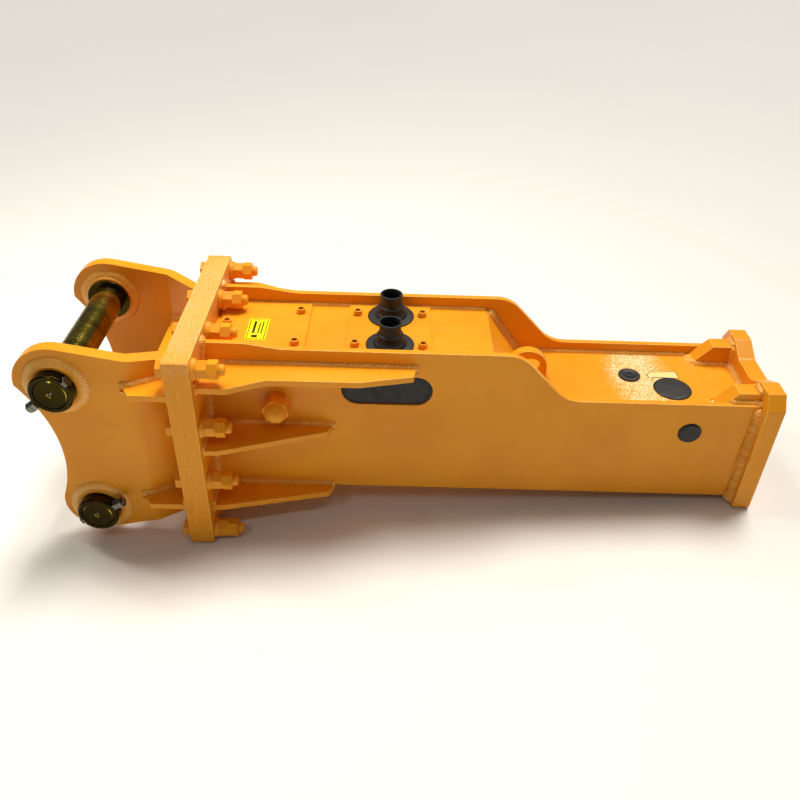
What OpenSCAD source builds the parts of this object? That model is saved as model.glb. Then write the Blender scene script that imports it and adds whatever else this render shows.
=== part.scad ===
// Box-housed hydraulic breaker hammer with a pin-on top bracket, lying on its back plate.
// +X runs along the tool axis and out of the nose, +Z towards the hose ports.
// The origin is the centre of the tool opening, on the outer face of the nose plate.

/* [Housing] */
// Distance from the flange joint to the nose face
shell_l = 1440; // [1430:1:1460]
// Height of the tool axis above the lower edges of the side plates
axis_h = 137; // [136:1:138]
// Outer half width across the two side plates
shell_half_w = 145.4; // [145:0.1:147]
// Thickness of each side plate
side_t = 16; // [14:1:16]
// Height of the side plates over the rear, where the ports are
rear_h = 422; // [418:1:426]
// Height of the side plates over the front
front_h = 295; // [292:1:298]
// Height of the side plates where they meet the flange
flange_end_h = 436; // [433:1:440]
// Slope of the step between the rear and the front
step_angle = 46.4; // [42:0.1:50]

/* [Flange joint] */
// Half width of both flange plates
flange_half_w = 270.5; // [268:0.5:272]
// Lower edge of the flange plates, below the side plates' lower edges
flange_low = -105; // [-108:1:-104]
// Upper edge of the flange plates
flange_top = 457; // [452:1:458]
// Thickness of the flange plate on the bracket
bracket_flange_t = 29.5; // [28:0.5:32]
// Thickness of the flange plate on the housing
housing_flange_t = 32; // [30:0.5:32]
// Distance between neighbouring flange bolts across the width
bolt_pitch_y = 160.6; // [159:0.1:161]
// Distance between neighbouring flange bolts up the height
bolt_pitch_z = 166; // [163:0.1:167]

/* [Top bracket] */
// Outer half width across the ears
ear_half_w = 227; // [225:0.5:228]
// Thickness of each ear
ear_t = 32; // [30:1:32]
// Angle of the joggle that brings each ear in to the side plates
ear_bend = 30; // [26:1:31]
// Distance of the stick pin behind the flange joint
stick_pin_x = 293; // [290:1:296]
// Height of the stick pin above the side plates' lower edges
stick_pin_z = 359; // [356:1:362]
// Distance of the link pin behind the flange joint
link_pin_x = 258; // [255:1:261]
// Height of the link pin above the side plates' lower edges
link_pin_z = -17; // [-20:1:-15]
// Radius of both bracket pins
pin_r = 40; // [40]
// Length of both bracket pins
pin_l = 534; // [532:1:536]

/* [Tool] */
// Radius of the bore that guides the tool
tool_bore_r = 50.3; // [50.1:0.1:50.5]
// Length of the lower tool bush
lower_bush_l = 170; // [160:1:175]
// Piston travel from the front stop to the top of its stroke
piston_stroke = 105; // [80:1:110]
// Valve spool travel
spool_stroke = 18; // [10:1:20]

/* [Hidden] */
$fn = 72;

paint = "#f0a02c";
zinc_gold = "#8a7a2c";
zinc_grey = "#a9abad";
rubber_black = "#222326";
steel = "#8e9194";
cast = "#6f7276";
nylon = "#d8d2b8";
label_yellow = "#f2e40a";

// ---- derived sizes ----
side_in = shell_half_w - side_t;
gap = 0.4;
plate_t = 14;
port_plate_top = 390;
front_plate_top = 266;
back_plate_t = 16;
nose_t = 46;
nose_half_w = 175;
nose_low = -19;
flange_mid_z = (flange_top + flange_low) / 2;
ear_in = ear_half_w - ear_t;
stick_pos = [-stick_pin_x, stick_pin_z];
link_pos = [-link_pin_x, link_pin_z];
port_x = 475;
port_y = 69;
slot_x0 = 401;
slot_x1 = 541;
slot_z = 311;
slot_r = 42;
tie_rod_pos = [202, 268];
side_plug_pos = [shell_l - 205, axis_h + 71];
small_plug_pos = [1107, 18];
large_plug_pos = [1207, -38];
cover_y = 122;
cover_t = 6;
cover_boss_y = 76;
body_half_y = 112;
body_half_z = 108;
front_head_x = [-470, -70];
cylinder_x = [-1010, -470];
back_head_x = [-1400, -1010];
tie_y = 80;
tie_z = 78;
tie_r = 16.5;
piston_r = 56;
rod_r = 49;
tail_r = 45;
valve_x = [-1006, -760];
valve_half_y = 98;
valve_top = 196;
spool_z = 152;
spool_r = 26;
spool_x = [-900, -780];
piston_x = [-1050, -455];
land_x = [-800, -600];

// ---- helpers ----
function unit(v) = v / norm(v);
function turn(a) = a > 180 ? a - 360 : (a < -180 ? a + 360 : a);

// Points of the arc of radius r that rounds the corner p between a and b
function corner(a, p, b, r, n = 8) =
    let (u = unit(a - p), v = unit(b - p))
    let (half = acos(u * v) / 2)
    let (c = p + unit(u + v) * r / sin(half))
    let (s = p + u * r / tan(half) - c, e = p + v * r / tan(half) - c)
    let (a0 = atan2(s[1], s[0]), sweep = turn(atan2(e[1], e[0]) - a0))
    [for (i = [0:n]) c + r * [cos(a0 + sweep * i / n), sin(a0 + sweep * i / n)]];

// Points of an arc about c, from angle a0 to a1
function arc(c, r, a0, a1, n) =
    [for (i = [0:n]) c + r * [cos(a0 + (a1 - a0) * i / n), sin(a0 + (a1 - a0) * i / n)]];

function xy(p) = [p[0], p[1]];

// Outline whose corners are given as [x, y, radius]
function rounded(pts) =
    let (n = len(pts))
    [for (i = [0:n - 1])
        each pts[i][2] == 0
            ? [xy(pts[i])]
            : corner(xy(pts[(i + n - 1) % n]), xy(pts[i]), xy(pts[(i + 1) % n]), pts[i][2])];

function mirrored(pts) = [for (p = pts) [-p[0], p[1], p[2]]];
function reversed(pts) = [for (i = [len(pts) - 1:-1:0]) pts[i]];

// Moves a piece drawn from the flange joint and the side plates' lower edges into the frame
module from_flange() {
    translate([-shell_l, 0, -axis_h]) children();
}

module plate_xz(y0, t) {
    translate([0, y0 + t, 0]) rotate([90, 0, 0]) linear_extrude(t) children();
}

module plate_yz(x0, t) {
    translate([x0, 0, 0]) rotate([90, 0, 90]) linear_extrude(t) children();
}

module plate_xy(z0, t) {
    translate([0, 0, z0]) linear_extrude(t) children();
}

module both_sides() {
    children();
    mirror([0, 1, 0]) children();
}

module rod_x(r, x0, x1) {
    translate([x0, 0, 0]) rotate([0, 90, 0]) cylinder(r = r, h = x1 - x0);
}

module rod_y(r, y0, y1) {
    translate([0, y0, 0]) rotate([-90, 0, 0]) cylinder(r = r, h = y1 - y0);
}

module hex_rod(af, h) {
    cylinder(r = af / sqrt(3), h = h, $fn = 6);
}

module hex_x(af, x0, x1) {
    translate([x0, 0, 0]) rotate([0, 90, 0]) hex_rod(af, x1 - x0);
}

// Solid turned about X from [x, radius] points
module turned_x(pts) {
    rotate([0, 90, 0]) rotate_extrude() polygon([for (p = pts) [p[1], p[0]]]);
}

// Solid turned about Y from [y, radius] points
module turned_y(pts) {
    rotate([-90, 0, 0]) rotate_extrude() polygon([for (p = pts) [p[1], p[0]]]);
}

module box(low, high) {
    translate(low) cube(high - low);
}

// ---- top bracket ----
// Ear seen from the side: a round end at each pin and a hollow between them
module ear_outline() {
    polygon(concat(
        [[-126, 430], [-bracket_flange_t, 409], [-bracket_flange_t, -61], [-143, -70]],
        arc([-265, -10], 86.5, -78, -202.1, 24), arc([-655.5, 148.4], 335, -22.1, 38.1, 24),
        arc(stick_pos, 99, 182.3, 80.1, 20)
    ));
}

// Section of the joggled ear, seen from the ports
module ear_section() {
    run = 122 - bracket_flange_t;
    inner_shift = ear_t * tan(ear_bend / 2);
    drop = tan(ear_bend);
    polygon(rounded([
        [-410, ear_half_w, 0], [-122, ear_half_w, 50],
        [-bracket_flange_t, ear_half_w - run * drop, 0],
        [-bracket_flange_t, ear_in - (run + inner_shift) * drop, 0],
        [-122 - inner_shift, ear_in, 0], [-410, ear_in, 0]
    ]));
}

module ear() {
    color(paint) from_flange() difference() {
        intersection() {
            plate_xz(100, 140) ear_outline();
            plate_xy(-150, 650) ear_section();
        }
        for (pos = [stick_pos, link_pos])
            translate([pos[0], 0, pos[1]]) rod_y(62, 150, 260);
    }
}

module bracket_ear_left() {
    ear();
}

module bracket_ear_right() {
    mirror([0, 1, 0]) ear();
}

module flange_outline() {
    w = flange_half_w;
    polygon(rounded([
        [-w, flange_low, 8], [w, flange_low, 8], [w, flange_top, 8], [-w, flange_top, 8]
    ]));
}

// The twelve bolt places round the edge of the flange, as [y, z]
flange_bolt_places = [for (i = [0:3], j = [0:3])
    if (i == 0 || i == 3 || j == 0 || j == 3)
        [(i - 1.5) * bolt_pitch_y, flange_mid_z + (j - 1.5) * bolt_pitch_z]];

module at_flange_bolts() {
    for (p = flange_bolt_places) translate([0, p[0], p[1]]) children();
}

module bracket_flange() {
    color(paint) from_flange() difference() {
        plate_yz(-bracket_flange_t, bracket_flange_t) flange_outline();
        at_flange_bolts() rod_x(14.5, -bracket_flange_t - 1, 1);
    }
}

// Flat gussets outside the ears, level with the pins, and stiffeners between the ears
module bracket_gussets() {
    outer_x = -122;
    inner_x = outer_x - ear_t * tan(ear_bend / 2);
    outer_end_y = ear_half_w - (-bracket_flange_t - outer_x) * tan(ear_bend);
    inner_end_y = ear_in - (-bracket_flange_t - inner_x) * tan(ear_bend);
    color(paint) from_flange() {
        both_sides() for (z = [350, 14])
            plate_xy(z, 16) polygon([
                [outer_x - 20, ear_half_w], [outer_x + 5, flange_half_w - 2],
                [-bracket_flange_t, flange_half_w - 2],
                [-bracket_flange_t, outer_end_y], [outer_x, ear_half_w]
            ]);
        for (z = [284, 46])
            plate_xy(z, 16) polygon([
                [inner_x, ear_in], [-bracket_flange_t, inner_end_y],
                [-bracket_flange_t, -inner_end_y], [inner_x, -ear_in]
            ]);
    }
}

module at_bracket_pins() {
    from_flange() for (pos = [stick_pos, link_pos]) translate([pos[0], 0, pos[1]]) children();
}

boss_in = ear_in - 12;
boss_out = ear_half_w + 12;
bush_lip = 6;

module pin_bosses() {
    color(paint) at_bracket_pins() both_sides()
        turned_y([
            [boss_in, 51], [boss_in, 59], [boss_in + 3, 62],
            [boss_out - 3, 62], [boss_out, 59], [boss_out, 51]
        ]);
}

module pin_bushes() {
    color(zinc_gold) at_bracket_pins() both_sides()
        turned_y([
            [boss_in - bush_lip, pin_r + 0.05], [boss_in - bush_lip, 56], [boss_in, 56],
            [boss_in, 51], [boss_out, 51], [boss_out, pin_r + 0.05]
        ]);
}

// ---- bracket pins: pin, a collar at each end, and a cross bolt through each collar ----
collar_in = boss_out + 2;
collar_out = pin_l / 2;
cross_y = (collar_in + collar_out) / 2;
cross_r = 8;
collar_seat = 44;
cross_bolt_af = 24;
stick_cross_angle = 218;
link_cross_angle = 30;

module stick_place(angle) {
    from_flange() translate([stick_pos[0], 0, stick_pos[1]]) rotate([0, -angle, 0]) children();
}

module link_place(angle) {
    from_flange() translate([link_pos[0], 0, link_pos[1]]) rotate([0, -angle, 0]) children();
}

module cross_holes() {
    both_sides() translate([0, cross_y, 0]) {
        rod_x(cross_r + 0.2, -60, 60);
        rod_x(14.5, -60, -collar_seat);
    }
}

module pin_body() {
    color(zinc_gold) difference() {
        turned_y([
            [-pin_l / 2, 0], [-pin_l / 2, pin_r - 4], [4 - pin_l / 2, pin_r],
            [pin_l / 2 - 4, pin_r], [pin_l / 2, pin_r - 4], [pin_l / 2, 0]
        ]);
        cross_holes();
        both_sides() turned_y([
            [pin_l / 2 - 14, 0], [pin_l / 2 - 14, 4], [pin_l / 2 - 5, 4],
            [pin_l / 2 + 1, 9], [pin_l / 2 + 1, 0]
        ]);
    }
}

module pin_collars() {
    color(zinc_gold) difference() {
        both_sides() turned_y([
            [collar_in, pin_r + 0.2], [collar_in, 49.5], [collar_in + 2, 51.5],
            [collar_out - 4, 51.5], [collar_out - 0.5, 48], [collar_out - 0.5, pin_r + 0.2]
        ]);
        cross_holes();
    }
}

module pin_cross_bolts() {
    color(zinc_grey) both_sides() translate([0, cross_y, 0]) {
        hex_x(cross_bolt_af, -collar_seat - 10, -collar_seat);
        rod_x(cross_r, -collar_seat, 83);
    }
}

module pin_cross_nuts() {
    color(zinc_grey) both_sides() translate([0, cross_y, 0]) for (x = [51.6, 65])
        difference() {
            hex_x(cross_bolt_af, x, x + 13);
            rod_x(cross_r + 0.1, x - 1, x + 14);
        }
}

module stick_pin() {
    stick_place(stick_cross_angle) pin_body();
}

module stick_pin_collars() {
    stick_place(stick_cross_angle) pin_collars();
}

module stick_pin_bolts() {
    stick_place(stick_cross_angle) pin_cross_bolts();
}

module stick_pin_nuts() {
    stick_place(stick_cross_angle) pin_cross_nuts();
}

module link_pin() {
    link_place(link_cross_angle) pin_body();
}

module link_pin_collars() {
    link_place(link_cross_angle) pin_collars();
}

module link_pin_bolts() {
    link_place(link_cross_angle) pin_cross_bolts();
}

module link_pin_nuts() {
    link_place(link_cross_angle) pin_cross_nuts();
}

// ---- flange bolts, M27 ----
flange_bolt_r = 13.5;
flange_nut_af = 41;
washer_t = 6;
nut_t = 24;
nut_x0 = housing_flange_t + 2 * washer_t;

module flange_bolts() {
    color(paint) from_flange() at_flange_bolts() {
        hex_x(flange_nut_af, -bracket_flange_t - 17, -bracket_flange_t);
        rod_x(flange_bolt_r, -bracket_flange_t, nut_x0 + 2 * nut_t + 10);
        turned_x([
            [nut_x0 + 2 * nut_t + 10, 0], [nut_x0 + 2 * nut_t + 10, flange_bolt_r],
            [nut_x0 + 2 * nut_t + 14, flange_bolt_r - 3], [nut_x0 + 2 * nut_t + 14, 0]
        ]);
    }
}

module flange_washers() {
    color(paint) from_flange() at_flange_bolts() for (i = [0, 1])
        difference() {
            rod_x(26 - 2 * i, housing_flange_t + i * washer_t, housing_flange_t + (i + 1) * washer_t);
            rod_x(flange_bolt_r + 0.5, housing_flange_t - 1, nut_x0 + 1);
        }
}

// Hexagon nut with its corners turned off by the usual 30 degree chamfer
module flange_nut(x0) {
    r = flange_nut_af / sqrt(3);
    color(paint) difference() {
        intersection() {
            hex_x(flange_nut_af, x0, x0 + nut_t);
            turned_x([
                [x0, 0], [x0, r - 2.5], [x0 + 2, r + 0.5],
                [x0 + nut_t - 2, r + 0.5], [x0 + nut_t, r - 2.5], [x0 + nut_t, 0]
            ]);
        }
        rod_x(flange_bolt_r + 0.1, x0 - 1, x0 + nut_t + 1);
    }
}

module flange_nuts() {
    from_flange() at_flange_bolts() flange_nut(nut_x0);
}

module flange_lock_nuts() {
    from_flange() at_flange_bolts() rotate([24, 0, 0]) flange_nut(nut_x0 + nut_t);
}

// ---- housing ----
box_low = back_plate_t;
box_high = port_plate_top - plate_t;

module housing_flange() {
    color(paint) from_flange() difference() {
        plate_yz(0, housing_flange_t) flange_outline();
        at_flange_bolts() rod_x(14.5, -1, housing_flange_t + 1);
        box([-1, -side_in + 4, box_low + 4], [housing_flange_t + 1, side_in - 4, box_high - 110]);
    }
}

step_run = (rear_h - front_h) / tan(step_angle);
step_x = 790;
nose_in = shell_l - nose_t;

module side_outline() {
    polygon(rounded([
        [housing_flange_t, 0, 0], [nose_in, 0, 0], [nose_in, front_h, 0],
        [step_x + step_run, front_h, 88], [step_x, rear_h, 85],
        [222, rear_h, 130], [132, flange_end_h, 120], [housing_flange_t, flange_end_h, 0]
    ]));
}

module side_plate() {
    color(paint) from_flange() difference() {
        plate_xz(side_in, side_t) side_outline();
        plate_xz(side_in - 1, side_t + 2) slot_shape(0);
        translate([side_plug_pos[0], 0, side_plug_pos[1]]) rod_y(27.5, side_in - 1, shell_half_w + 1);
        translate([tie_rod_pos[0], 0, tie_rod_pos[1]]) rod_y(tie_rod_r + 0.4, side_in - 1, shell_half_w + 1);
    }
}

module side_plate_left() {
    side_plate();
}

module side_plate_right() {
    mirror([0, 1, 0]) side_plate();
}

ramp_x = 728;

module port_plate() {
    color(paint) from_flange() difference() {
        box([housing_flange_t, -side_in, port_plate_top - plate_t], [ramp_x, side_in, port_plate_top]);
        box([86, -60, port_plate_top - plate_t - 1], [226, 60, port_plate_top + 1]);
        translate([0, 0, port_plate_top - plate_t - 1]) {
            for (y = [-port_y, port_y]) translate([port_x, y, 0]) cylinder(r = 42, h = plate_t + 2);
            at_cover_screws() cylinder(r = 6.2, h = plate_t + 2);
        }
    }
}

// Sloping plate between the port plate and the front plate
module ramp_plate() {
    foot = 816;
    color(paint) from_flange() plate_xz(-side_in, 2 * side_in) polygon([
        [ramp_x, port_plate_top], [foot + 4, front_plate_top], [foot + 4, front_plate_top - plate_t],
        [foot - 12, front_plate_top - plate_t], [ramp_x, port_plate_top - plate_t - 8]
    ]);
}

module front_plate() {
    color(paint) from_flange() difference() {
        box([820, -side_in, front_plate_top - plate_t], [nose_in, side_in, front_plate_top]);
        translate([small_plug_pos[0], small_plug_pos[1], 0]) cylinder(r = 24, h = 400);
        translate([large_plug_pos[0], large_plug_pos[1], 0]) cylinder(r = 43, h = 400);
    }
}

module back_plate() {
    color(paint) from_flange() box([housing_flange_t, -side_in, 0], [nose_in, side_in, back_plate_t]);
}

// Three flat gussets on each side plate, against the flange
module side_gussets() {
    w = shell_half_w;
    color(paint) from_flange() both_sides() {
        plate_xy(367, 16) polygon(rounded([
            [housing_flange_t, w, 0], [housing_flange_t, 257, 0], [104, 257, 24], [190, 217, 60],
            [407, 216, 40], [534, 186, 4], [540, w, 0]
        ]));
        plate_xy(190, 14) polygon(rounded([
            [housing_flange_t, w, 0], [housing_flange_t, 264, 0], [68, 264, 30],
            [326, 177, 3], [340, w + 3, 0], [340, w, 0]
        ]));
        plate_xy(-10, 16) polygon(rounded([
            [housing_flange_t, w, 0], [housing_flange_t, 243, 0], [58, 243, 10],
            [325, 181, 3], [334, 160, 0], [334, w, 0]
        ]));
    }
}

module nose_outline() {
    half = [[nose_half_w, nose_low, 10], [nose_half_w, 302, 3], [151, 338, 5], [100, 338, 14], [44, 309, 34]];
    polygon(rounded(concat(half, reversed(mirrored(half)))));
}

module nose_plate() {
    color(paint) from_flange() difference() {
        plate_yz(nose_in, nose_t) nose_outline();
        translate([0, 0, axis_h]) rod_x(88, nose_in - 1, shell_l + 1);
    }
}

// Thick blocks that carry the nose plate's upper corners
module nose_blocks() {
    color(paint) from_flange() both_sides() plate_xz(side_in - 45, 45) polygon([
        [1288, front_plate_top], [1338, 321], [nose_in, 321], [nose_in, front_plate_top]
    ]);
}

lug_pos = [830, 301];
lug_r = 51;
lug_eye_r = 27;

module lifting_lug() {
    color(paint) from_flange() difference() {
        plate_xz(-13, 26) difference() {
            union() {
                translate(lug_pos) circle(r = lug_r);
                polygon([
                    [lug_pos[0] + lug_r, front_plate_top], [lug_pos[0] + lug_r, lug_pos[1]],
                    [lug_pos[0] - 34, lug_pos[1] + 38], [778, front_plate_top + 50], [820, front_plate_top]
                ]);
            }
            polygon([[ramp_x, port_plate_top], [820, front_plate_top], [820, 200], [ramp_x, 200]]);
            translate([700, 200]) square([300, front_plate_top - 200]);
        }
        translate([lug_pos[0] + 8, 0, lug_pos[1] + 2]) rod_y(lug_eye_r, -20, 20);
    }
}

// ---- covers on the port plate ----
cover_top = port_plate_top + cover_t;
cover_boss_top = cover_top + 13;
cover_screw_places = [
    [63, 10], [242, cover_boss_y], [242, -cover_boss_y],
    [389, cover_boss_y], [389, -cover_boss_y], [556, cover_boss_y], [556, -cover_boss_y]
];

module at_cover_screws() {
    for (p = cover_screw_places) translate([p[0], p[1], 0]) children();
}

module screw_holes(r) {
    at_cover_screws() translate([0, 0, port_plate_top - 1]) cylinder(r = r, h = 30);
}

module charging_cover() {
    color(paint) from_flange() difference() {
        box([44, -cover_y, port_plate_top], [267, cover_y, cover_top]);
        screw_holes(6.2);
    }
}

module port_cover() {
    color(paint) from_flange() difference() {
        box([367, -cover_y, port_plate_top], [577, cover_y, cover_top]);
        for (y = [-port_y, port_y]) translate([port_x, y, port_plate_top - 1]) cylinder(r = 40, h = 20);
        screw_holes(6.2);
    }
}

module cover_bosses() {
    color(paint) from_flange() at_cover_screws() difference() {
        translate([0, 0, cover_top]) cylinder(r = 11, h = cover_boss_top - cover_top);
        translate([0, 0, cover_top - 1]) cylinder(r = 7, h = 20);
    }
}

// Socket screw along +Z with the top of its head at z = 0
module socket_screw(r, head_r, head_h, shank_l) {
    difference() {
        union() {
            translate([0, 0, -head_h - shank_l]) cylinder(r = r, h = shank_l);
            translate([0, 0, -head_h]) cylinder(r = head_r, h = head_h);
        }
        translate([0, 0, -head_h * 0.6]) hex_rod(head_r, head_h);
    }
}

cap_screw_places = [for (y = [-36, 36], z = [-30, 30]) [y, spool_z + z]];

// M12 screws sunk inside the boss tubes, and M10 screws that hold the valve cap
module socket_screws() {
    color(zinc_grey) {
        from_flange() at_cover_screws() translate([0, 0, cover_top + 5]) socket_screw(6, 6.9, 5, 22);
        for (p = cap_screw_places)
            translate([valve_x[1] + 26, p[0], p[1]]) rotate([0, 90, 0]) socket_screw(5, 8, 10, 16);
    }
}

module rating_plate() {
    color(label_yellow) from_flange() plate_xy(cover_top, 0.8)
        polygon(rounded([[117, -64, 4], [168, -64, 4], [168, 36, 4], [117, 36, 4]]));
}

// ---- rubber parts ----
boot_top = 462;

module hose_boot(y) {
    z0 = cover_top;
    color(rubber_black) from_flange() translate([port_x, y, 0]) rotate_extrude() polygon([
        [58.5, z0], [58.5, z0 + 4], [56, z0 + 6], [40, z0 + 7], [38, z0 + 10], [33, z0 + 24], [33.5, z0 + 30],
        [30, z0 + 34], [26.5, z0 + 40], [26, z0 + 46], [27.5, z0 + 52], [28.5, boot_top - 4], [28, boot_top],
        [24.5, boot_top], [24, boot_top - 3], [22, z0 + 44], [24, z0 + 36],
        [28, z0 + 28], [29, z0 + 20], [36, z0]
    ]);
}

module hose_boot_left() {
    hose_boot(port_y);
}

module hose_boot_right() {
    hose_boot(-port_y);
}

module slot_shape(grow) {
    for (x = [slot_x0, slot_x1]) translate([x, slot_z]) circle(r = slot_r + grow);
    translate([slot_x0, slot_z - slot_r - grow]) square([slot_x1 - slot_x0, 2 * (slot_r + grow)]);
}

// Rubber blanks that close the oval windows from inside
module window_seals() {
    color(rubber_black) from_flange() both_sides() {
        plate_xz(side_in - 8, 8) slot_shape(12);
        plate_xz(side_in, side_t - 5) slot_shape(-gap);
    }
}

module plug_disc(lip_r, neck_r, z0, lip_t, neck_l) {
    translate([0, 0, z0]) rotate_extrude() polygon([
        [0, -neck_l], [neck_r, -neck_l], [neck_r, 0], [lip_r, 0],
        [lip_r - 1, lip_t], [lip_r - 5, lip_t + 2.5], [0, lip_t + 3]
    ]);
}

module front_plugs() {
    color(rubber_black) from_flange() {
        translate([large_plug_pos[0], large_plug_pos[1], 0]) plug_disc(48, 42.6, front_plate_top, 3, 10);
        translate([small_plug_pos[0], small_plug_pos[1], front_plate_top]) difference() {
            rotate_extrude() polygon([
                [0, -10], [23.6, -10], [23.6, 0], [28.5, 0], [28, 4], [24, 6.5],
                [13, 6], [11, 2], [8, 2], [7.5, 7], [0, 7]
            ]);
            translate([0, 0, 3]) cylinder(r = 4, h = 6);
        }
    }
}

module side_plugs() {
    color(rubber_black) from_flange() both_sides()
        translate([side_plug_pos[0], shell_half_w, side_plug_pos[1]]) rotate([-90, 0, 0])
            plug_disc(29.5, 27.1, 0, 2.5, 10);
}

// Tie rod across the housing, over the back head, with a domed nut on each end
tie_rod_r = 15;
cap_nut_h = 44;
dome_r = 27.5;

module side_tie_rod() {
    reach = shell_half_w + cap_nut_h - 6;
    color(steel) from_flange() translate([tie_rod_pos[0], 0, tie_rod_pos[1]]) rod_y(tie_rod_r, -reach, reach);
}

module side_cap_nuts() {
    color(paint) from_flange() both_sides()
        translate([tie_rod_pos[0], shell_half_w, tie_rod_pos[1]]) rotate([-90, 0, 0]) difference() {
            union() {
                rotate([0, 0, 14]) hex_rod(58, cap_nut_h);
                translate([0, 0, cap_nut_h - 4]) intersection() {
                    sphere(r = dome_r);
                    cylinder(r = dome_r + 1, h = dome_r + 1);
                }
            }
            translate([0, 0, -1]) cylinder(r = tie_rod_r + 0.1, h = cap_nut_h - 4);
        }
}

// ---- buffers ----
module upper_buffer() {
    color(nylon) difference() {
        box([back_head_x[0] - 39.5, -106, -104], [back_head_x[0], 106, 104]);
        rod_x(45, back_head_x[0] - 40, back_head_x[0] + 1);
    }
}

module lower_buffer() {
    color(nylon) difference() {
        box([front_head_x[1], -112, -108], [-nose_t, 112, 108]);
        rod_x(86, front_head_x[1] - 1, -nose_t + 1);
    }
}

// Sliding pads between the power cell and the four walls
module wear_pads() {
    front_x = [-430, -270];
    rear_x = [-1340, -1180];
    low = back_plate_t - axis_h;
    color(nylon) {
        both_sides() for (x = [front_x, rear_x]) box([x[0], body_half_y, -70], [x[1], side_in, 70]);
        for (x = [front_x, rear_x]) box([x[0], -80, low], [x[1], 80, -body_half_z]);
        box([front_x[0], -80, body_half_z], [-330, 80, front_plate_top - plate_t - axis_h]);
    }
}

// ---- power cell: back head, cylinder and front head, held by four through bolts ----
module cell_block(x, chamfer) {
    y = body_half_y;
    z = body_half_z;
    c = chamfer;
    plate_yz(x[0], x[1] - x[0]) polygon([
        [c - y, -z], [y - c, -z], [y, c - z], [y, z - c], [y - c, z], [c - y, z], [-y, z - c], [-y, c - z]
    ]);
}

module at_ties() {
    for (y = [-tie_y, tie_y], z = [-tie_z, tie_z]) translate([0, y, z]) children();
}

tie_nut_t = 30;
tie_x = [-1372, -292];
rear_nut_x = -1364;
front_nut_x = -330;
charge_x = -1300;
chamber_x = piston_x[0] - piston_stroke - 85;

module back_head() {
    mouth = back_head_x[1] + 1;
    color(cast) difference() {
        cell_block(back_head_x, 14);
        at_ties() rod_x(tie_r + 1, back_head_x[0] - 1, mouth);
        for (y = [-1, 1], z = [-1, 1]) translate([0, y * 90, z * 88])
            box([back_head_x[0] - 1, -41, -39], [rear_nut_x + tie_nut_t, 41, 39]);
        rod_x(50, chamber_x, mouth);
        translate([charge_x, 0, -10]) cylinder(r = 14, h = 130);
        rod_x(8, charge_x, chamber_x + 1);
    }
}

module charging_valve() {
    color(steel) translate([charge_x, 0, 0]) difference() {
        union() {
            translate([0, 0, 78]) cylinder(r = 14, h = 30);
            translate([0, 0, 108]) hex_rod(32, 12);
            translate([0, 0, 120]) cylinder(r = 9, h = 16);
        }
        translate([0, 0, 70]) cylinder(r = 3, h = 40);
    }
}

carrier_r = 62;
upper_carrier_x = [-1010, -950];
lower_carrier_x = [-560, -470];

module cylinder_body() {
    color(cast) difference() {
        cell_block(cylinder_x, 14);
        at_ties() rod_x(tie_r + 1, cylinder_x[0] - 1, cylinder_x[1] + 1);
        rod_x(piston_r + 0.05, cylinder_x[0] - 1, cylinder_x[1] + 1);
        rod_x(carrier_r, cylinder_x[0] - 1, -870);
        rod_x(carrier_r, lower_carrier_x[0], cylinder_x[1] + 1);
        for (x = [-900, -720]) translate([x, 0, 40]) cylinder(r = 9, h = 80);
    }
}

module front_head() {
    color(cast) difference() {
        union() {
            cell_block(front_head_x, 14);
            rod_x(84, front_head_x[1] - 1, 0);
        }
        rod_x(68, -lower_bush_l - 2, 1);
        rod_x(62, -471, -lower_bush_l - 1);
        rod_x(64, -330, -240);
        at_ties() rod_x(tie_r + 1, front_head_x[0] - 1, front_nut_x + 10);
        for (y = [-1, 1], z = [-1, 1])
            translate([0, y * 90, z * 88]) box([front_nut_x, -38, -39], [-284, 38, 39]);
        for (z = [-1, 1]) translate([tool_pin_x, 0, z * tool_pin_z]) rod_y(tool_pin_r + 0.3, -120, 120);
    }
}

module through_bolts() {
    color(steel) at_ties() rod_x(tie_r, tie_x[0], tie_x[1]);
}

module through_bolt_nuts() {
    color(steel) at_ties() for (x = [rear_nut_x, front_nut_x])
        difference() {
            hex_x(50, x, x + tie_nut_t);
            rod_x(tie_r + 0.1, x - 1, x + tie_nut_t + 1);
        }
}

module piston() {
    color(steel) turned_x([
        [piston_x[0], 0], [piston_x[0], tail_r - 3], [piston_x[0] + 5, tail_r],
        [land_x[0], tail_r], [land_x[0], piston_r], [-730, piston_r], [-726, rod_r], [-674, rod_r],
        [-670, piston_r], [land_x[1], piston_r], [land_x[1], rod_r],
        [piston_x[1] - 6, rod_r], [piston_x[1], rod_r - 5], [piston_x[1], 0]
    ]);
}

// Places of the seal grooves along the axis
upper_seal_x = [-998, -982, -966];
lower_seal_x = [-520, -500, -484];
seal_w = 7;

module carrier(x, inner_r, seals) {
    difference() {
        rod_x(carrier_r, x[0], x[1]);
        rod_x(inner_r + 0.05, x[0] - 1, x[1] + 1);
        for (s = seals) rod_x(inner_r + 8, s, s + seal_w);
    }
}

module seal_carriers() {
    color(steel) {
        carrier(upper_carrier_x, tail_r, upper_seal_x);
        carrier(lower_carrier_x, rod_r, lower_seal_x);
    }
}

module seal_ring(x, inner_r) {
    difference() {
        rod_x(inner_r + 8, x, x + seal_w);
        rod_x(inner_r + gap, x - 1, x + seal_w + 1);
    }
}

module seal_rings() {
    color(rubber_black) {
        for (x = upper_seal_x) seal_ring(x, tail_r);
        for (x = lower_seal_x) seal_ring(x, rod_r);
    }
}

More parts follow.
